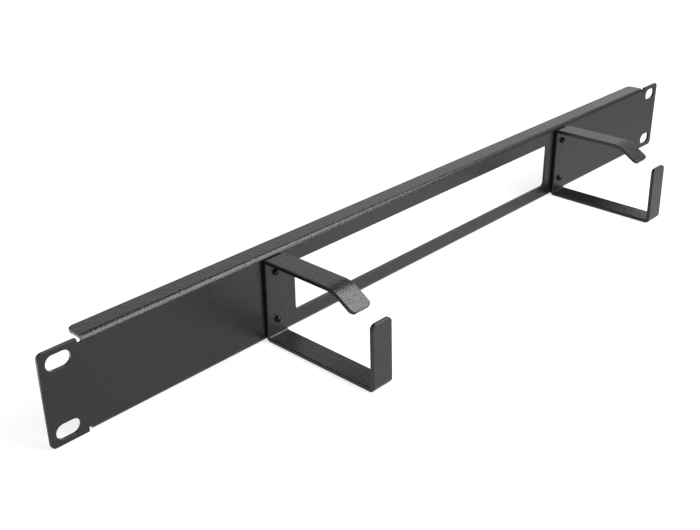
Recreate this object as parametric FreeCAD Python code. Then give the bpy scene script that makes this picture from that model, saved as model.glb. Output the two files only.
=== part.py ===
import FreeCAD, Part
import math
import os

# Cable management panel for a 19 inch rack, one unit high, in millimetres.
# A folded sheet panel has a long window for cables. Two hooks of bent strip,
# riveted to its front on either side of the window, hold cables ahead of it.
# X runs along the panel, its front faces -Y and Z is up. The origin is the
# centre of the four rack slots, on the rear face of the panel's sheet.

# Panel outline and rack slots
PANEL_WIDTH = 482.6
PANEL_HEIGHT = 43.7
EAR_LENGTH = 17.8
EAR_CORNER_RADIUS = 2.5
SLOT_FROM_EAR_END = 8.75
SLOT_SPACING_Z = 31.75
SLOT_LENGTH = 11.5
SLOT_WIDTH = 7.0

# Folded sheet of the panel
PANEL_SHEET = 1.5
PANEL_BEND_INNER_RADIUS = 0.7
FLANGE_DEPTH = 10.8
FLANGE_CORNER_RADIUS = 3.0
RELIEF_WIDTH = 2.0
RELIEF_PAST_BEND = 0.3
RELIEF_CORNER_RADIUS = 0.6

# Cable window in the panel
WINDOW_LENGTH = 212.6
WINDOW_HEIGHT = 26.0
WINDOW_DROP = 0.5
WINDOW_CORNER_RADIUS = 2.5

# Hooks of bent strip
HOOK_WIDTH = 12.3
HOOK_SHEET = 2.0
HOOK_BEND_INNER_RADIUS = 0.7
HOOK_FROM_WINDOW = 7.65
HOOK_TOP_BELOW_PANEL_TOP = 1.35
UPPER_ARM_REACH = 43.9
LOWER_ARM_REACH = 67.5
LIP_LENGTH = 14.0
LIP_ANGLE = 31.5
LIP_BEND_INNER_RADIUS = 13.0
POST_LENGTH = 33.2
POST_LEAN_ANGLE = 1.2
HOOK_END_CORNER_RADIUS = 2.5

# Blind rivets that hold each hook
RIVET_SPACING = 24.5
RIVET_RISE = 0.4
RIVET_SHANK_DIAMETER = 2.0
RIVET_HOLE_CLEARANCE = 0.05
RIVET_HEAD_DIAMETER = 3.5
RIVET_HEAD_HEIGHT = 1.2
RIVET_HEAD_RIM = 0.3
RIVET_BULB_DIAMETER = 3.2
RIVET_BULB_LENGTH = 2.4
RIVET_BULB_TAPER = 0.9
MANDREL_DIAMETER = 1.0
MANDREL_CLEARANCE = 0.03
MANDREL_BREAK_DEPTH = 0.8
MANDREL_HEAD_DIAMETER = 1.7
MANDREL_HEAD_LENGTH = 1.0

# How far every cutter runs past the faces that it opens
CUTTER_OVERRUN = 1.0

# Places worked out from the sizes above
FRONT_Y = -PANEL_SHEET
PANEL_TOP = PANEL_HEIGHT / 2
PANEL_BOTTOM = -PANEL_HEIGHT / 2
PANEL_BEND_OUTER_RADIUS = PANEL_BEND_INNER_RADIUS + PANEL_SHEET
EAR_INNER_X = PANEL_WIDTH / 2 - EAR_LENGTH
FLANGE_END_X = EAR_INNER_X - RELIEF_WIDTH
HOOK_CENTRE_X = WINDOW_LENGTH / 2 + HOOK_FROM_WINDOW + HOOK_WIDTH / 2
HOOK_BASE_FRONT_Y = FRONT_Y - HOOK_SHEET

SIDES = {"left": -1, "right": 1}
LEVELS = {"lower": -1, "upper": 1}


def line(start, end):
    """Straight edge between two points."""
    return Part.LineSegment(start, end).toShape()


def rounded_run(points, radii):
    """Edges through points, with an arc of the given radius at each inner point."""
    edges = []
    last = points[0]
    for before, corner, after, radius in zip(points, points[1:], points[2:], radii):
        into = (corner - before).normalize()
        out = (after - corner).normalize()
        turn = into.getAngle(out)
        tangent_length = radius * math.tan(turn / 2)
        arc_start = corner - into * tangent_length
        arc_end = corner + out * tangent_length
        to_centre = (out - into).normalize()
        arc_middle = corner + to_centre * (radius / math.cos(turn / 2) - radius)
        edges.append(line(last, arc_start))
        edges.append(Part.Arc(arc_start, arc_middle, arc_end).toShape())
        last = arc_end
    edges.append(line(last, points[-1]))
    return edges


def rounded_outline(points, radii):
    """Closed wire round points, each corner an arc of its own radius."""
    middle = (points[0] + points[-1]) * 0.5
    closed_points = [middle] + points + [middle]
    return Part.Wire(rounded_run(closed_points, radii))


def plate(points, radii, start_y, depth):
    """Plate with a rounded outline in the XZ plane, from start_y towards +Y."""
    corners = [FreeCAD.Vector(x, start_y, z) for x, z in points]
    face = Part.Face(rounded_outline(corners, radii))
    return face.extrude(FreeCAD.Vector(0, depth, 0))


def bent_strip(points, outer_radii, sheet, start_x, width):
    """Strip of sheet that follows points in the YZ plane, given as (y, z).

    The points are the corners of the outer face, and the sheet lies on the left
    of the way they run. Each bend turns left, so its inner arc has the same
    centre and a radius smaller by the sheet.
    """
    outer = [FreeCAD.Vector(start_x, y, z) for y, z in points]
    along = [(b - a).normalize() for a, b in zip(outer, outer[1:])]
    left = [FreeCAD.Vector(0, -d.z, d.y) for d in along]
    inner = [outer[0] + left[0] * sheet]
    for corner, a, b in zip(outer[1:], left, left[1:]):
        inner.append(corner + (a + b) * (sheet / (1 + a.dot(b))))
    inner.append(outer[-1] + left[-1] * sheet)
    inner_radii = [radius - sheet for radius in outer_radii]
    edges = rounded_run(outer, outer_radii)
    edges.append(line(outer[-1], inner[-1]))
    edges += rounded_run(inner[::-1], inner_radii[::-1])
    edges.append(line(inner[0], outer[0]))
    face = Part.Face(Part.Wire(edges))
    return face.extrude(FreeCAD.Vector(width, 0, 0))


def edges_along(shape, direction, near, reach):
    """Straight edges parallel to direction whose middle is within reach of a point."""
    found = []
    for edge in shape.Edges:
        start, end = edge.Vertexes[0].Point, edge.Vertexes[-1].Point
        run = end - start
        middle = (start + end) * 0.5
        parallel = run.Length > 0 and run.normalize().cross(direction).Length < 1e-6
        if parallel and middle.distanceToPoint(near) < reach:
            found.append(edge)
    return found


def y_cylinder(diameter, x, z, start_y, end_y):
    """Cylinder along Y between two values of y."""
    base = FreeCAD.Vector(x, start_y, z)
    return Part.makeCylinder(diameter / 2, end_y - start_y, base, FreeCAD.Vector(0, 1, 0))


def rivet_places():
    """Name, x and z of each rivet."""
    places = []
    for side, side_sign in SIDES.items():
        for level, level_sign in LEVELS.items():
            x = side_sign * HOOK_CENTRE_X
            z = RIVET_RISE + level_sign * RIVET_SPACING / 2
            places.append((side + "_" + level, x, z))
    return places


def drill_rivet_holes(shape):
    """Cut the rivet holes through the sheet and whatever lies on its front."""
    diameter = RIVET_SHANK_DIAMETER + 2 * RIVET_HOLE_CLEARANCE
    start_y = HOOK_BASE_FRONT_Y - CUTTER_OVERRUN
    for name, x, z in rivet_places():
        shape = shape.cut(y_cylinder(diameter, x, z, start_y, CUTTER_OVERRUN))
    return shape


def folded_channel():
    """Front of the panel with its top and bottom flanges folded back."""
    rear_y = FRONT_Y + FLANGE_DEPTH
    corners = [
        (rear_y, PANEL_TOP),
        (FRONT_Y, PANEL_TOP),
        (FRONT_Y, PANEL_BOTTOM),
        (rear_y, PANEL_BOTTOM),
    ]
    radii = [PANEL_BEND_OUTER_RADIUS, PANEL_BEND_OUTER_RADIUS]
    channel = bent_strip(corners, radii, PANEL_SHEET, -FLANGE_END_X, 2 * FLANGE_END_X)
    rear_corners = []
    for x in (-FLANGE_END_X, FLANGE_END_X):
        for z in (PANEL_BOTTOM + PANEL_SHEET / 2, PANEL_TOP - PANEL_SHEET / 2):
            corner = FreeCAD.Vector(x, rear_y, z)
            rear_corners += edges_along(channel, FreeCAD.Vector(0, 0, 1), corner, PANEL_SHEET)
    return channel.makeFillet(FLANGE_CORNER_RADIUS, rear_corners)


def eared_plate():
    """Flat plate of the whole width, notched between each ear and the flanges."""
    half_width = PANEL_WIDTH / 2
    relief_z = PANEL_TOP - PANEL_BEND_OUTER_RADIUS - RELIEF_PAST_BEND
    upper_right = [
        (EAR_INNER_X, relief_z, RELIEF_CORNER_RADIUS),
        (EAR_INNER_X, PANEL_TOP, RELIEF_CORNER_RADIUS),
        (half_width, PANEL_TOP, EAR_CORNER_RADIUS),
    ]
    right = upper_right + [(x, -z, r) for x, z, r in upper_right[::-1]]
    around = right + [(-x, -z, r) for x, z, r in right]
    points = [(x, z) for x, z, r in around]
    radii = [r for x, z, r in around]
    return plate(points, radii, FRONT_Y, PANEL_SHEET)


def window_cutter():
    """Cutter for the cable window, with rounded corners."""
    x = WINDOW_LENGTH / 2
    top = WINDOW_HEIGHT / 2 - WINDOW_DROP
    bottom = top - WINDOW_HEIGHT
    points = [(x, top), (x, bottom), (-x, bottom), (-x, top)]
    radii = [WINDOW_CORNER_RADIUS] * len(points)
    depth = PANEL_SHEET + 2 * CUTTER_OVERRUN
    return plate(points, radii, FRONT_Y - CUTTER_OVERRUN, depth)


def slot_cutter(centre_x, centre_z):
    """Cutter for one rack slot, with round ends along X."""
    reach = (SLOT_LENGTH - SLOT_WIDTH) / 2
    start_y = FRONT_Y - CUTTER_OVERRUN
    left_end = y_cylinder(SLOT_WIDTH, centre_x - reach, centre_z, start_y, CUTTER_OVERRUN)
    right_end = y_cylinder(SLOT_WIDTH, centre_x + reach, centre_z, start_y, CUTTER_OVERRUN)
    corner = FreeCAD.Vector(centre_x - reach, start_y, centre_z - SLOT_WIDTH / 2)
    middle = Part.makeBox(2 * reach, CUTTER_OVERRUN - start_y, SLOT_WIDTH, corner)
    return middle.fuse([left_end, right_end]).removeSplitter()


def panel():
    """Folded sheet with rack slots, the cable window and the rivet holes."""
    shape = folded_channel().fuse(eared_plate()).removeSplitter()
    slot_x = PANEL_WIDTH / 2 - SLOT_FROM_EAR_END
    for x in (-slot_x, slot_x):
        for z in (-SLOT_SPACING_Z / 2, SLOT_SPACING_Z / 2):
            shape = shape.cut(slot_cutter(x, z))
    return drill_rivet_holes(shape.cut(window_cutter()))


def hook(side_sign):
    """Strip bent into an open hook: lip, upper arm, base, lower arm and leaning post."""
    top = PANEL_TOP - HOOK_TOP_BELOW_PANEL_TOP
    bottom = PANEL_BOTTOM
    lip_angle = math.radians(LIP_ANGLE)
    lean = math.radians(POST_LEAN_ANGLE)
    lip_y = FRONT_Y - UPPER_ARM_REACH
    post_y = FRONT_Y - LOWER_ARM_REACH
    tip = (lip_y - LIP_LENGTH * math.cos(lip_angle), top - LIP_LENGTH * math.sin(lip_angle))
    post_top = (post_y + POST_LENGTH * math.sin(lean), bottom + POST_LENGTH * math.cos(lean))
    corners = [post_top, (post_y, bottom), (FRONT_Y, bottom), (FRONT_Y, top), (lip_y, top), tip]
    tight = HOOK_BEND_INNER_RADIUS + HOOK_SHEET
    wide = LIP_BEND_INNER_RADIUS + HOOK_SHEET
    start_x = side_sign * HOOK_CENTRE_X - HOOK_WIDTH / 2
    strip = bent_strip(corners, [tight, tight, tight, wide], HOOK_SHEET, start_x, HOOK_WIDTH)
    across_lip = FreeCAD.Vector(0, -math.sin(lip_angle), math.cos(lip_angle))
    across_post = FreeCAD.Vector(0, math.cos(lean), -math.sin(lean))
    end_corners = []
    for x in (start_x, start_x + HOOK_WIDTH):
        for (y, z), across in ((tip, across_lip), (post_top, across_post)):
            end_corners += edges_along(strip, across, FreeCAD.Vector(x, y, z), HOOK_SHEET)
    return drill_rivet_holes(strip.makeFillet(HOOK_END_CORNER_RADIUS, end_corners))


def turned(profile, x, z):
    """Solid turned about the line along Y through (x, z), from (radius, y) points."""
    points = [FreeCAD.Vector(x + radius, y, z) for radius, y in profile]
    face = Part.Face(Part.makePolygon(points + points[:1]))
    return face.revolve(FreeCAD.Vector(x, 0, z), FreeCAD.Vector(0, 1, 0), 360)


def dome(x, z):
    """Rivet head: a low dome on a thin rim, flat against the hook's base."""
    rim_y = HOOK_BASE_FRONT_Y - RIVET_HEAD_RIM
    crown_y = HOOK_BASE_FRONT_Y - RIVET_HEAD_HEIGHT
    radius = RIVET_HEAD_DIAMETER / 2
    rise = RIVET_HEAD_HEIGHT - RIVET_HEAD_RIM
    sphere_radius = (radius ** 2 + rise ** 2) / (2 * rise)
    half_angle = math.asin(radius / sphere_radius) / 2
    sphere_centre_y = crown_y + sphere_radius
    crown = FreeCAD.Vector(x, crown_y, z)
    rim = FreeCAD.Vector(x + radius, rim_y, z)
    halfway_x = x + sphere_radius * math.sin(half_angle)
    halfway_y = sphere_centre_y - sphere_radius * math.cos(half_angle)
    seat_edge = FreeCAD.Vector(x + radius, HOOK_BASE_FRONT_Y, z)
    seat_centre = FreeCAD.Vector(x, HOOK_BASE_FRONT_Y, z)
    edges = [
        Part.Arc(crown, FreeCAD.Vector(halfway_x, halfway_y, z), rim).toShape(),
        line(rim, seat_edge),
        line(seat_edge, seat_centre),
        line(seat_centre, crown),
    ]
    face = Part.Face(Part.Wire(edges))
    return face.revolve(FreeCAD.Vector(x, 0, z), FreeCAD.Vector(0, 1, 0), 360)


def rivet(x, z):
    """Set blind rivet: domed head, shank, and a bulb behind the panel's sheet."""
    shank = RIVET_SHANK_DIAMETER / 2
    bulb = RIVET_BULB_DIAMETER / 2
    behind = [
        (0, HOOK_BASE_FRONT_Y),
        (shank, HOOK_BASE_FRONT_Y),
        (shank, 0),
        (bulb, 0),
        (bulb, RIVET_BULB_LENGTH - RIVET_BULB_TAPER),
        (shank, RIVET_BULB_LENGTH),
        (0, RIVET_BULB_LENGTH),
    ]
    bore = MANDREL_DIAMETER + 2 * MANDREL_CLEARANCE
    body = dome(x, z).fuse(turned(behind, x, z)).removeSplitter()
    bore_start_y = HOOK_BASE_FRONT_Y - RIVET_HEAD_HEIGHT - CUTTER_OVERRUN
    return body.cut(y_cylinder(bore, x, z, bore_start_y, RIVET_BULB_LENGTH + CUTTER_OVERRUN))


def mandrel(x, z):
    """Rest of the pulled mandrel: a stub in the bore and its head at the far end."""
    break_y = HOOK_BASE_FRONT_Y - RIVET_HEAD_HEIGHT + MANDREL_BREAK_DEPTH
    head_end_y = RIVET_BULB_LENGTH + MANDREL_HEAD_LENGTH
    stub = y_cylinder(MANDREL_DIAMETER, x, z, break_y, head_end_y)
    head = y_cylinder(MANDREL_HEAD_DIAMETER, x, z, RIVET_BULB_LENGTH, head_end_y)
    return stub.fuse(head).removeSplitter()


def save(name, shape):
    """Write one node and print what it is made of."""
    box = shape.BoundBox
    shape.exportStep("parts/" + name + ".step")
    print(name, "valid", shape.isValid(), "solids", len(shape.Solids), "volume", round(shape.Volume, 2))
    print("   x %.2f %.2f  y %.2f %.2f  z %.2f %.2f" % (
        box.XMin, box.XMax, box.YMin, box.YMax, box.ZMin, box.ZMax))


os.makedirs("parts", exist_ok=True)
save("panel", panel())
for side, side_sign in SIDES.items():
    save("hook_" + side, hook(side_sign))
for place, x, z in rivet_places():
    save("rivet_" + place, rivet(x, z))
    save("mandrel_" + place, mandrel(x, z))
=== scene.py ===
# %% [markdown]
# A one-unit rack panel with a cable window and two riveted hooks, dressed for a studio picture.
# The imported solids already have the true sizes, so this lesson adds what a solid lacks: a powder
# coat with its fine grain, soft sheet edges that catch the light, blackened rivets and a plain
# studio. It starts by loading the solids as a fixed frame, and every piece is placed from them.

# %% Load the frame
import math

import bmesh
import bpy
import numpy as np
from mathutils import Matrix, Vector


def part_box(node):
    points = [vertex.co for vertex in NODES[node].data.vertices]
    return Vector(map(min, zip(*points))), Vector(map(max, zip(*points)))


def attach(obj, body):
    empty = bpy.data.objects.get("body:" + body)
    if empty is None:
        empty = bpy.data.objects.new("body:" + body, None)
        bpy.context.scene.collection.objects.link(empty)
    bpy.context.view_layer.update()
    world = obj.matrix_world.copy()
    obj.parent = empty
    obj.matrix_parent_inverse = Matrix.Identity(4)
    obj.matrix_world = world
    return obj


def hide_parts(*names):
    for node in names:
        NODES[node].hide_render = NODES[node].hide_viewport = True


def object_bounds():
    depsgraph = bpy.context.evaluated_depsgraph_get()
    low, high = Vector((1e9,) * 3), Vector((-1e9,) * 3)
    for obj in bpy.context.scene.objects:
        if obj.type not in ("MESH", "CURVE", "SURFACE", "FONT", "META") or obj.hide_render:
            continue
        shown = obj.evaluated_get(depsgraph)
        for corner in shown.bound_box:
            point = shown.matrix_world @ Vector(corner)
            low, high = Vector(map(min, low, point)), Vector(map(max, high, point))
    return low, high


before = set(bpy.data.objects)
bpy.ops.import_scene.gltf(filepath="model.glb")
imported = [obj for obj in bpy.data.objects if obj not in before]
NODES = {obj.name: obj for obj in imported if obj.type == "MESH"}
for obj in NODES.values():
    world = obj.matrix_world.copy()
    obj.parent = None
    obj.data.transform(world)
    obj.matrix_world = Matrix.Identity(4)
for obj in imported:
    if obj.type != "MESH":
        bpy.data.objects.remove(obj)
solid_low, solid_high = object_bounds()
print("solids", sorted(NODES), "size", [round(v, 4) for v in solid_high - solid_low])

# %% [markdown]
# The camera stands where the photographer stood: in front of the panel's left end, above it,
# turned about 47 degrees to the right. The place, the turn and the lens come from fitting a
# camera to the panel's known rack sizes, so the edges fall where the photograph has them. The
# same could be done by eye with a background picture, but a fit is quicker and steadier.

# %% Camera
MILLIMETRE = 0.001
PICTURE_WIDTH = 700
FOCAL_PIXELS = 1017.6
SENSOR_WIDTH = 36.0
CAMERA_PLACE = Vector((-399.5, -312.2, 220.8)) * MILLIMETRE
CAMERA_TURN_RIGHT = 46.82
CAMERA_LOOKS_DOWN = 26.30
CAMERA_ROLL = -0.61
NEAREST_SEEN = 10 * MILLIMETRE


def camera_rotation(turn_right, looks_down, roll):
    """Rotation of a camera that first looks along +Y and is then turned, tipped and rolled.

    The three angles are in degrees. Turning is about the upright axis, tipping about the
    camera's own sideways axis, and rolling about its line of sight.
    """
    turn = Matrix.Rotation(-math.radians(turn_right), 3, "Z")
    tip = Matrix.Rotation(math.radians(90 - looks_down), 3, "X")
    spin = Matrix.Rotation(math.radians(roll), 3, "Z")
    return turn @ tip @ spin


def placed(name, data):
    """New object that holds this camera, mesh or lamp, linked to the scene."""
    made = bpy.data.objects.new(name, data)
    bpy.context.scene.collection.objects.link(made)
    return made


camera_data = bpy.data.cameras.new("camera")
camera_data.sensor_width = SENSOR_WIDTH
camera_data.lens = FOCAL_PIXELS * SENSOR_WIDTH / PICTURE_WIDTH
camera_data.clip_start = NEAREST_SEEN
camera = placed("camera", camera_data)
turned = camera_rotation(CAMERA_TURN_RIGHT, CAMERA_LOOKS_DOWN, CAMERA_ROLL)
camera.matrix_world = Matrix.Translation(CAMERA_PLACE) @ turned.to_4x4()
bpy.context.scene.camera = camera
bpy.context.scene.view_settings.view_transform = "Standard"
print("lens", round(camera_data.lens, 2), "mm")

# %% [markdown]
# Shader maths reads best as plain arithmetic. A small class wraps one output socket, and its
# operators add the Math nodes, so `0.4 + 0.1 * grain` makes the same tree that dragging wires by
# hand would. Every other node comes from one method, which sets the node's own options first and
# then fills or links its sockets.

# %% Shader maths


class Wire:
    """One output socket. Arithmetic on wires and numbers adds Math nodes to the tree."""

    def __init__(self, finish, socket):
        self.finish = finish
        self.socket = socket

    def maths(self, operation, first, second):
        """Wire of a new Math node; `first` and `second` are wires or numbers."""
        made = self.finish.add("ShaderNodeMath", {"operation": operation}, {0: first, 1: second})
        return made["Value"]

    def __add__(self, other):
        return self.maths("ADD", self, other)

    def __radd__(self, other):
        return self.maths("ADD", other, self)

    def __sub__(self, other):
        return self.maths("SUBTRACT", self, other)

    def __rsub__(self, other):
        return self.maths("SUBTRACT", other, self)

    def __mul__(self, other):
        return self.maths("MULTIPLY", self, other)

    def __rmul__(self, other):
        return self.maths("MULTIPLY", other, self)


def grey(value):
    """A neutral colour of that brightness."""
    return (value, value, value, 1.0)


def fill_ramp(ramp, stops):
    """Give a colour ramp one stop for each (place, brightness) pair."""
    while len(ramp.elements) < len(stops):
        ramp.elements.new(0.5)
    for element, (place, brightness) in zip(ramp.elements, stops):
        element.position = place
        element.color = grey(brightness)


def live(sockets, name):
    """The socket of that name which the node's options have switched on."""
    return next(socket for socket in sockets if socket.enabled and socket.name == name)


class Finish:
    """A node tree that is built by adding nodes and wiring them by name."""

    def __init__(self, owner):
        owner.use_nodes = True
        self.tree = owner.node_tree
        self.tree.nodes.clear()

    def add(self, kind, options=None, sockets=None):
        """Add a node, set its options, then give its sockets numbers, colours or wires.

        The option "stops" fills a colour ramp with greys, from (place, brightness) pairs.
        """
        made = self.tree.nodes.new(kind)
        for name, value in (options or {}).items():
            if name == "stops":
                fill_ramp(made.color_ramp, value)
            else:
                setattr(made, name, value)
        for name, value in (sockets or {}).items():
            target = made.inputs[name] if isinstance(name, int) else live(made.inputs, name)
            if isinstance(value, Wire):
                self.tree.links.new(value.socket, target)
            else:
                target.default_value = value
        return {output.name: Wire(self, output) for output in made.outputs if output.enabled}


print("shader maths ready")

# %% [markdown]
# Powder coat is a dry paint that is sprayed on as dust and baked, so it melts into a tough skin
# with a fine pebbled surface. Here it is nearly black and half matt: its own colour is so dark
# that most of what the eye sees is the studio mirrored in a blurred way. Three things make it
# look real: a grain of rather less than a millimetre that breaks up the highlights, a slower
# orange-peel wave of a few millimetres, and a gloss that drifts a little from place to place.
# Both textures are noise in object coordinates, so they run on round the bends like real paint.

# %% Powder coat
GRAIN_SIZE = 0.65 * MILLIMETRE
GRAIN_DEPTH = 0.15 * MILLIMETRE
PEEL_SIZE = 2.4 * MILLIMETRE
PEEL_SHARE = 0.8
CLOUD_SIZE = 45.0 * MILLIMETRE
NOISE_MIDDLE = 0.5
COAT_SHADE = 0.008
COAT_SHADE_SPREAD = 0.25
COAT_ROUGHNESS = 0.24
CLOUD_ROUGHNESS = 0.10
GRAIN_ROUGHNESS = 0.08
COAT_IOR = 1.5


def noise(finish, place, size, detail=2.0):
    """Noise whose lumps are about `size` metres apart, as a wire from 0 to 1."""
    sockets = {"Vector": place, "Scale": 1.0 / size, "Detail": detail}
    return finish.add("ShaderNodeTexNoise", {}, sockets)["Fac"]


def bumps(finish, height, depth):
    """Normal of a skin that rises by `depth` metres where `height` rises from 0 to 1."""
    sockets = {"Strength": 1.0, "Distance": depth, "Height": height}
    return finish.add("ShaderNodeBump", {}, sockets)["Normal"]


def surfaced(finish, sockets):
    """End the tree with one Principled shader that has these sockets."""
    surface = finish.add("ShaderNodeBsdfPrincipled", {}, sockets)["BSDF"]
    finish.add("ShaderNodeOutputMaterial", {}, {"Surface": surface})


def powder_coat(name):
    """Near-black powder coat with grain, orange peel and a gloss that drifts."""
    material = bpy.data.materials.new(name)
    finish = Finish(material)
    place = finish.add("ShaderNodeTexCoord")["Object"]
    grain = noise(finish, place, GRAIN_SIZE, detail=1.5)
    peel = noise(finish, place, PEEL_SIZE)
    cloud = noise(finish, place, CLOUD_SIZE, detail=3.0)
    darker = grey(COAT_SHADE * (1 - COAT_SHADE_SPREAD))
    lighter = grey(COAT_SHADE * (1 + COAT_SHADE_SPREAD))
    shade = finish.add(
        "ShaderNodeMix",
        {"data_type": "RGBA"},
        {"Factor": grain, "A": darker, "B": lighter},
    )["Result"]
    by_cloud = CLOUD_ROUGHNESS * (cloud - NOISE_MIDDLE)
    by_grain = GRAIN_ROUGHNESS * (grain - NOISE_MIDDLE)
    surfaced(finish, {
        "Base Color": shade,
        "Roughness": COAT_ROUGHNESS + by_cloud + by_grain,
        "Normal": bumps(finish, grain + PEEL_SHARE * peel, GRAIN_DEPTH),
        "IOR": COAT_IOR,
    })
    return material


panel_coat = powder_coat("panel_coat")
hook_coat = powder_coat("hook_coat")
print("powder coat", panel_coat.name, hook_coat.name)

# %% [markdown]
# The rivets came black from the maker and went in after the panel was coated. Their lacquer is
# smoother than the powder around them. It is darker partly for its own black and partly as painted
# shade: the darker colour and weaker reflection stand in for the shadow of the hook's arm and the
# shade round the heads. The end of the pulled mandrel is bare steel that snapped: darkened, with a
# rough torn face. Both need little more than the right gloss.

# %% Rivet finishes
# Darker than the coat: the rivets' own black plus painted shade for the shadow round the heads.
LACQUER_BLACK_AND_PAINTED_SHADE = 0.004
LACQUER_ROUGHNESS = 0.24
LACQUER_ROUGHNESS_SPREAD = 0.12
LACQUER_IOR = 1.36
RIPPLE_SIZE = 0.5 * MILLIMETRE
RIPPLE_DEPTH = 0.01 * MILLIMETRE
STEEL_SHADE = 0.11
STEEL_ROUGHNESS = 0.30
STEEL_ROUGHNESS_SPREAD = 0.25
TEAR_SIZE = 0.22 * MILLIMETRE
TEAR_DEPTH = 0.06 * MILLIMETRE


def rivet_lacquer():
    """Smooth black lacquer with a faint ripple from dipping, made darker as painted shade."""
    material = bpy.data.materials.new("rivet_black")
    finish = Finish(material)
    place = finish.add("ShaderNodeTexCoord")["Object"]
    ripple = noise(finish, place, RIPPLE_SIZE)
    surfaced(finish, {
        "Base Color": grey(LACQUER_BLACK_AND_PAINTED_SHADE),
        "Roughness": LACQUER_ROUGHNESS + LACQUER_ROUGHNESS_SPREAD * ripple,
        "Normal": bumps(finish, ripple, RIPPLE_DEPTH),
        "IOR": LACQUER_IOR,
    })
    return material


def torn_steel():
    """Darkened steel with the rough face of a snapped pin."""
    material = bpy.data.materials.new("mandrel_steel")
    finish = Finish(material)
    place = finish.add("ShaderNodeTexCoord")["Object"]
    tears = noise(finish, place, TEAR_SIZE, detail=3.0)
    surfaced(finish, {
        "Base Color": grey(STEEL_SHADE),
        "Metallic": 1.0,
        "Roughness": STEEL_ROUGHNESS + STEEL_ROUGHNESS_SPREAD * tears,
        "Normal": bumps(finish, tears, TEAR_DEPTH),
    })
    return material


rivet_black = rivet_lacquer()
mandrel_steel = torn_steel()
print("rivet finishes", rivet_black.name, mandrel_steel.name)

# %% [markdown]
# Punched and bent sheet has crisp edges, but paint rounds them: each edge shows as a thin soft
# line, light or dark, that tells the eye how thick the sheet is. The solids have knife edges, so
# the panel and the hooks are shown by copies with their edges bevelled by a fraction of a
# millimetre, the thicker strip of the hooks more than the sheet of the panel. The copy's loose
# triangles are merged first, because a bevel needs to know which faces meet at an edge.

# %% Soft sheet edges
PANEL_EDGE_ROUNDING = 0.18 * MILLIMETRE
HOOK_EDGE_ROUNDING = 0.42 * MILLIMETRE
EDGE_STEPS = 3
MERGE_DISTANCE = 0.001 * MILLIMETRE
SHARP_ANGLE = math.radians(50)
FLAT_ANGLE = math.radians(0.5)


def merged_copy(node, name):
    """Copy of a node's shape with doubled points merged and flat areas made one face.

    Only points and faces are carried over, so the copy gets fresh normals of its own.
    """
    shape = bmesh.new()
    shape.from_mesh(NODES[node].data)
    bmesh.ops.remove_doubles(shape, verts=shape.verts, dist=MERGE_DISTANCE)
    bmesh.ops.dissolve_limit(
        shape, angle_limit=FLAT_ANGLE, verts=shape.verts, edges=shape.edges, delimit=set())
    shape.verts.index_update()
    points = [vert.co.copy() for vert in shape.verts]
    faces = [[vert.index for vert in face.verts] for face in shape.faces]
    shape.free()
    mesh = bpy.data.meshes.new(name)
    mesh.from_pydata(points, [], faces)
    return placed(name, mesh)


def soften_edges(piece, width):
    """Bevel every edge sharper than SHARP_ANGLE, then let the large flats set the shading.

    The flats are faces of many sides with a few inner edges between them. New corners mustn't
    slide along those inner edges, or a face folds over itself, so loop slide is off.
    """
    piece.data.shade_smooth()
    bevel = piece.modifiers.new("paint over the edges", "BEVEL")
    bevel.width = width
    bevel.segments = EDGE_STEPS
    bevel.limit_method = "ANGLE"
    bevel.angle_limit = SHARP_ANGLE
    bevel.use_clamp_overlap = False
    bevel.loop_slide = False
    weights = piece.modifiers.new("flat faces stay flat", "WEIGHTED_NORMAL")
    weights.mode = "FACE_AREA"
    return piece


def dressed(piece, node):
    """Let the piece ride on the panel and stand for its node."""
    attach(piece, "root")
    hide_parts(node)
    return piece


def coated(node, material, rounding):
    """Shown piece that stands for a sheet node: its copy, softened and painted."""
    piece = soften_edges(merged_copy(node, node + "_coated"), rounding)
    piece.data.materials.append(material)
    return dressed(piece, node)


coated_pieces = [coated("panel", panel_coat, PANEL_EDGE_ROUNDING)]
for hook in ("hook_left", "hook_right"):
    coated_pieces.append(coated(hook, hook_coat, HOOK_EDGE_ROUNDING))
print("coated", [(piece.name, len(piece.data.polygons)) for piece in coated_pieces])

# %% [markdown]
# Each hook is held by two blind rivets. A set rivet shows a round head with a small hole in it,
# where the pulled pin snapped off, and behind the sheet its tail has swollen into a barrel. Such
# a part is a profile turned about an axis, so it is worked out as a grid of points: one direction
# runs along the profile and the other round the axis. A Screw modifier would turn a drawn curve
# in the same way, but arrays keep the profile's formula in plain sight.

# %% Profiles of a set rivet
HEAD_RISE = 1.75 * MILLIMETRE
HEAD_RIM = 0.35 * MILLIMETRE
RIM_ROUNDING = 0.10 * MILLIMETRE
SHANK_RADIUS = 1.0 * MILLIMETRE
BARREL_RADIUS = 1.6 * MILLIMETRE
BARREL_POWER = 4
PIN_RADIUS = 0.5 * MILLIMETRE
PIN_GAP = 0.03 * MILLIMETRE
PIN_BELOW_CROWN = 0.45 * MILLIMETRE
PIN_HEAD_ROUNDING = 0.35 * MILLIMETRE
TIP_DEPTH = 0.10 * MILLIMETRE
TIP_RINGS = np.array([0.0, 0.6, 1.0])
CROWN_STEPS = 18
RIM_STEPS = 5
BARREL_STEPS = 14
BORE_STEPS = 4
SHOULDER_STEPS = 6
HOOK_SHEET = 2.0 * MILLIMETRE
PANEL_SHEET = 1.5 * MILLIMETRE
SEAT = -(PANEL_SHEET + HOOK_SHEET)


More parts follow.
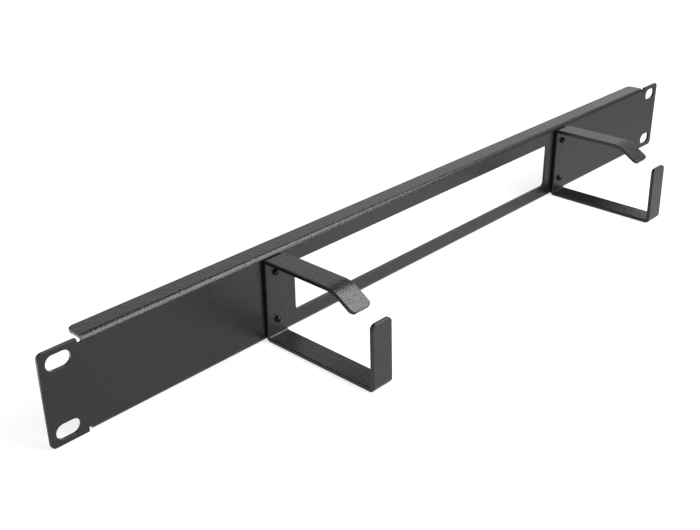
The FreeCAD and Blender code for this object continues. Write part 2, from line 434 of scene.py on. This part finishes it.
def rivet_profile(head, shank, barrel, bore, tail):
    """Closed loop of (radius, y) points round one half of the rivet's body.

    The head is a quarter of an ellipse, radius = head * cos(t) and rise = dome * sin(t), on a
    short rim. The barrel swells to `barrel` at the sheet and narrows towards `tail` as the square
    root of one minus the fourth power of the way along. The bore runs back to the start.
    """
    dome = HEAD_RISE - HEAD_RIM
    turn = np.linspace(math.acos(bore / head), 0.0, CROWN_STEPS)
    crown = np.column_stack([head * np.cos(turn), SEAT - HEAD_RIM - dome * np.sin(turn)])
    foot = np.linspace(0.0, math.pi / 2, RIM_STEPS)
    rim = np.column_stack([
        head - RIM_ROUNDING + RIM_ROUNDING * np.cos(foot),
        SEAT - RIM_ROUNDING + RIM_ROUNDING * np.sin(foot),
    ])
    shaft = np.array([(shank, SEAT), (shank, 0.0)])
    way = np.linspace(0.0, 1.0, BARREL_STEPS)
    swelling = (barrel - shank) * np.sqrt(1 - way ** BARREL_POWER)
    swell = np.column_stack([shank + swelling, tail * way])
    back = np.linspace(tail, crown[0, 1], BORE_STEPS + 1)[:-1]
    inside = np.column_stack([np.full(BORE_STEPS, bore), back])
    return np.vstack([crown, rim, shaft, swell, inside])


def pin_profile(radius, head, start, tail, end):
    """Open line of (radius, y) points of the pin, from the torn tip back to the far end.

    The tip is a shallow cone, radius * w and start + TIP_DEPTH * w for w from 0 to 1, and the
    pin's own head behind the tail is rounded by a quarter circle.
    """
    tip = np.column_stack([radius * TIP_RINGS, start + TIP_DEPTH * TIP_RINGS])
    stem = np.array([(radius, tail), (head, tail)])
    turn = np.linspace(0.0, math.pi / 2, SHOULDER_STEPS)
    shoulder = np.column_stack([
        head - PIN_HEAD_ROUNDING + PIN_HEAD_ROUNDING * np.cos(turn),
        end - PIN_HEAD_ROUNDING + PIN_HEAD_ROUNDING * np.sin(turn),
    ])
    return np.vstack([tip, stem, shoulder, [(0.0, end)]])


print("rivet stands", round(HEAD_RISE / MILLIMETRE, 2), "mm proud of the hook")

# %% [markdown]
# The grid turns the profile about a line along Y. Where the profile touches the axis its ring
# shrinks to a single point, so doubled points are merged and the poles are closed. Each rivet
# takes its centre and its radii from the box of the solid that it stands for.

# %% Turn the rivets
TURN_STEPS = 48
CREASE_ANGLE = math.radians(40)


def turned_piece(name, profile, closed, x, z, material):
    """Surface of revolution: point = (x + radius * cos(a), y, z + radius * sin(a))."""
    angle = np.arange(TURN_STEPS) * (2 * math.pi / TURN_STEPS)
    radius, along = profile[:, :1], profile[:, 1:]
    points = np.stack([
        x + radius * np.cos(angle),
        np.repeat(along, TURN_STEPS, axis=1),
        z + radius * np.sin(angle),
    ], axis=-1).reshape(-1, 3)
    rows = np.arange(len(profile) if closed else len(profile) - 1)[:, None]
    columns = np.arange(TURN_STEPS)[None, :]
    next_row = (rows + 1) % len(profile)
    next_column = (columns + 1) % TURN_STEPS
    quads = np.stack([
        rows * TURN_STEPS + columns,
        next_row * TURN_STEPS + columns,
        next_row * TURN_STEPS + next_column,
        rows * TURN_STEPS + next_column,
    ], axis=-1).reshape(-1, 4)
    mesh = bpy.data.meshes.new(name)
    mesh.from_pydata(points.tolist(), [], quads.tolist())
    shape = bmesh.new()
    shape.from_mesh(mesh)
    bmesh.ops.remove_doubles(shape, verts=shape.verts, dist=MERGE_DISTANCE)
    bmesh.ops.recalc_face_normals(shape, faces=shape.faces)
    shape.to_mesh(mesh)
    shape.free()
    mesh.shade_smooth()
    mesh.set_sharp_from_angle(angle=CREASE_ANGLE)
    mesh.materials.append(material)
    return placed(name, mesh)


def set_rivet(place):
    """Body and pin of the rivet at one place, such as left_upper."""
    rivet_low, rivet_high = (Vector(corner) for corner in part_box("rivet_" + place))
    pin_low, pin_high = (Vector(corner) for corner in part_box("mandrel_" + place))
    x, z = (rivet_low.x + rivet_high.x) / 2, (rivet_low.z + rivet_high.z) / 2
    head, pin_head = (rivet_high.x - rivet_low.x) / 2, (pin_high.x - pin_low.x) / 2
    bore, tail = PIN_RADIUS + PIN_GAP, rivet_high.y
    body = rivet_profile(head, SHANK_RADIUS, BARREL_RADIUS, bore, tail)
    tip = SEAT - HEAD_RISE + PIN_BELOW_CROWN
    stem = pin_profile(PIN_RADIUS, pin_head, tip, tail, pin_high.y)
    return [
        dressed(turned_piece("rivet_body_" + place, body, True, x, z, rivet_black),
                "rivet_" + place),
        dressed(turned_piece("rivet_pin_" + place, stem, False, x, z, mandrel_steel),
                "mandrel_" + place),
    ]


rivet_pieces = []
for node in sorted(NODES):
    if node.startswith("rivet_"):
        rivet_pieces += set_rivet(node.removeprefix("rivet_"))
print("turned", [(piece.name, len(piece.data.polygons)) for piece in rivet_pieces[:2]], "and so on")

# %% [markdown]
# The studio is a pale floor, a large softbox in front on the right and a smaller one above. The
# coat is a dull mirror, so what it mirrors matters more than the power of the lamps. The front
# softbox is what the panel's upper bend throws back to the camera as a bright band, and the one
# above does the same for the left hook's sloping lip. The room is pale near the horizon, darker
# overhead and on the photographer's side, which leaves a dark line between the band and the
# flange, and darker still in front on the right, which keeps the far hook's lip and lower arm
# dark. In reflections the floor glows with painted light. This painted pool of light is brightest
# in the middle and behind the panel and stands in for lamps that light the floor unevenly. The
# panel's front mirrors it, so the painted glow is a ramp across the floor. For the camera the
# background is plain white, and only the shadow close to the metal is left.

# %% Studio
FLOOR_HEIGHT = solid_low.z
FLOOR_SIZE = 8.0
FLOOR_SHADE = 0.35
FLOOR_LIFT_CAMERA = 0.75
FLOOR_LIFT_FAR = 0.35
FLOOR_FAR = (0.5, 1.5)
FLOOR_GLOW_REACH = 0.30
FLOOR_GLOW_TILT = 0.4
# Painted light: the floor's glow in reflections, brightest in the middle and behind the panel.
FLOOR_PAINTED_GLOW_STOPS = [
    (0.0, 0.40), (0.15, 0.44), (0.24, 0.54), (0.48, 0.62), (0.64, 0.45), (0.76, 0.26), (1.0, 0.0)]
FLOOR_PAINTED_GLOW_BEHIND = 1.3
FLOOR_BEHIND = (0.03, 0.07)
ROOM_STOPS = [
    (0.0, 0.90), (0.29, 0.94), (0.32, 1.04), (0.35, 1.08), (0.38, 0.99), (0.42, 0.86), (0.48, 0.80),
    (0.62, 0.20), (1.0, 0.20)]
ROOM_IN_FRONT = 0.60
ROOM_FRONT_EDGE = (-0.35, 0.10)
ROOM_FRONT_RIGHT = 0.50
ROOM_RIGHT_EDGE = (0.75, 1.25)
ROOM_DIFFUSE = 0.50
LAMP_TARGET = Vector((-0.12, 0.0, 0.0))
LAMP_POWER_FACTOR = 4


def ray_kinds(finish):
    """Wires that are 1 for camera rays and for glossy or transmission rays."""
    path = finish.add("ShaderNodeLightPath")
    either = {0: path["Is Glossy Ray"], 1: path["Is Transmission Ray"]}
    mirrored = finish.add("ShaderNodeMath", {"operation": "MAXIMUM"}, either)["Value"]
    return path["Is Camera Ray"], mirrored


def eased(finish, value, span, low, high):
    """Wire that goes from `low` to `high` while `value` crosses `span`, eased at both ends."""
    start, end = span
    sockets = {"Value": value, "From Min": start, "From Max": end, "To Min": low, "To Max": high}
    ease = {"interpolation_type": "SMOOTHSTEP"}
    return finish.add("ShaderNodeMapRange", ease, sockets)["Result"]


def studio_floor():
    """Wide pale floor that keeps the object's shadow and is lifted to white for the camera.

    In reflections it glows with painted light, a ramp that runs from FLOOR_GLOW_REACH metres
    left of the middle to as far right of it, slanted by FLOOR_GLOW_TILT, and a painted pool of
    light makes it brighter behind the panel.
    """
    half = FLOOR_SIZE / 2
    corners = [(-half, -half), (half, -half), (half, half), (-half, half)]
    mesh = bpy.data.meshes.new("floor")
    mesh.from_pydata([(x, y, FLOOR_HEIGHT) for x, y in corners], [], [(0, 1, 2, 3)])
    material = bpy.data.materials.new("floor")
    finish = Finish(material)
    camera_ray, mirrored = ray_kinds(finish)
    place = finish.add("ShaderNodeTexCoord")["Object"]
    along = finish.add("ShaderNodeSeparateXYZ", {}, {"Vector": place})
    from_left = 0.5 + (along["X"] + FLOOR_GLOW_TILT * along["Y"]) * (0.5 / FLOOR_GLOW_REACH)
    painted_glow_across = finish.add(
        "ShaderNodeValToRGB", {"stops": FLOOR_PAINTED_GLOW_STOPS}, {"Fac": from_left})["Color"]
    painted_glow_behind = eased(finish, along["Y"], FLOOR_BEHIND, 0.0, FLOOR_PAINTED_GLOW_BEHIND)
    away = finish.add("ShaderNodeVectorMath", {"operation": "LENGTH"}, {0: place})["Value"]
    far_lift = eased(finish, away, FLOOR_FAR, 0.0, FLOOR_LIFT_FAR)
    matt = finish.add("ShaderNodeBsdfDiffuse", {}, {"Color": grey(FLOOR_SHADE)})["BSDF"]
    # The camera part lifts the floor to white. The mirrored part is painted light, a glow that no
    # lamp makes.
    lift = camera_ray * (FLOOR_LIFT_CAMERA + far_lift) + mirrored * (painted_glow_across + painted_glow_behind)
    glow = finish.add("ShaderNodeEmission", {}, {"Color": grey(1.0), "Strength": lift})
    lifted = finish.add("ShaderNodeAddShader", {}, {0: matt, 1: glow["Emission"]})["Shader"]
    finish.add("ShaderNodeOutputMaterial", {}, {"Surface": lifted})
    mesh.materials.append(material)
    floor = placed("floor", mesh)
    return floor


def softbox(name, place, across, width, height, radiance):
    """Rectangular lamp at a place, facing LAMP_TARGET, with its width along `across`.

    Its power is its area times the brightness wanted, times LAMP_POWER_FACTOR, which is how
    Blender reckons a lamp of this kind.
    """
    light = bpy.data.lights.new(name, "AREA")
    light.shape = "RECTANGLE"
    light.size = width
    light.size_y = height
    light.energy = LAMP_POWER_FACTOR * width * height * radiance
    lamp = placed(name, light)
    back = (Vector(place) - LAMP_TARGET).normalized()
    up = back.cross(Vector(across)).normalized()
    axes = Matrix((up.cross(back), up, back)).transposed()
    lamp.matrix_world = Matrix.Translation(Vector(place)) @ axes.to_4x4()
    return lamp


def studio_room():
    """World: white to the camera, even to diffuse rays, and darker overhead in reflections."""
    world = bpy.data.worlds.new("studio")
    bpy.context.scene.world = world
    finish = Finish(world)
    direction = finish.add("ShaderNodeTexCoord")["Generated"]
    axes = finish.add("ShaderNodeSeparateXYZ", {}, {"Vector": direction})
    room = finish.add("ShaderNodeValToRGB", {"stops": ROOM_STOPS}, {"Fac": axes["Z"]})["Color"]
    in_front = eased(finish, axes["Y"], ROOM_FRONT_EDGE, ROOM_IN_FRONT, 1.0)
    front_right = eased(finish, axes["X"] - axes["Y"], ROOM_RIGHT_EDGE, 1.0, ROOM_FRONT_RIGHT)
    mirrored_room = room * in_front * front_right
    camera_ray, mirrored = ray_kinds(finish)
    strength = camera_ray + mirrored * mirrored_room + ROOM_DIFFUSE * (1 - camera_ray - mirrored)
    light = finish.add("ShaderNodeBackground", {}, {"Color": grey(1.0), "Strength": strength})
    finish.add("ShaderNodeOutputWorld", {}, {"Surface": light["Background"]})
    return world


floor = studio_floor()
lamps = [
    softbox("front_softbox", place=(0.38, -1.04, 0.56), across=(1.0, 0.45, 0.0),
            width=0.80, height=1.15, radiance=4.8),
    softbox("top_softbox", place=(0.66, -0.35, 0.98), across=(1.0, 0.0, 0.0),
            width=0.42, height=0.85, radiance=6.4),
]
world = studio_room()
print("studio", floor.name, [lamp.name for lamp in lamps], world.name)
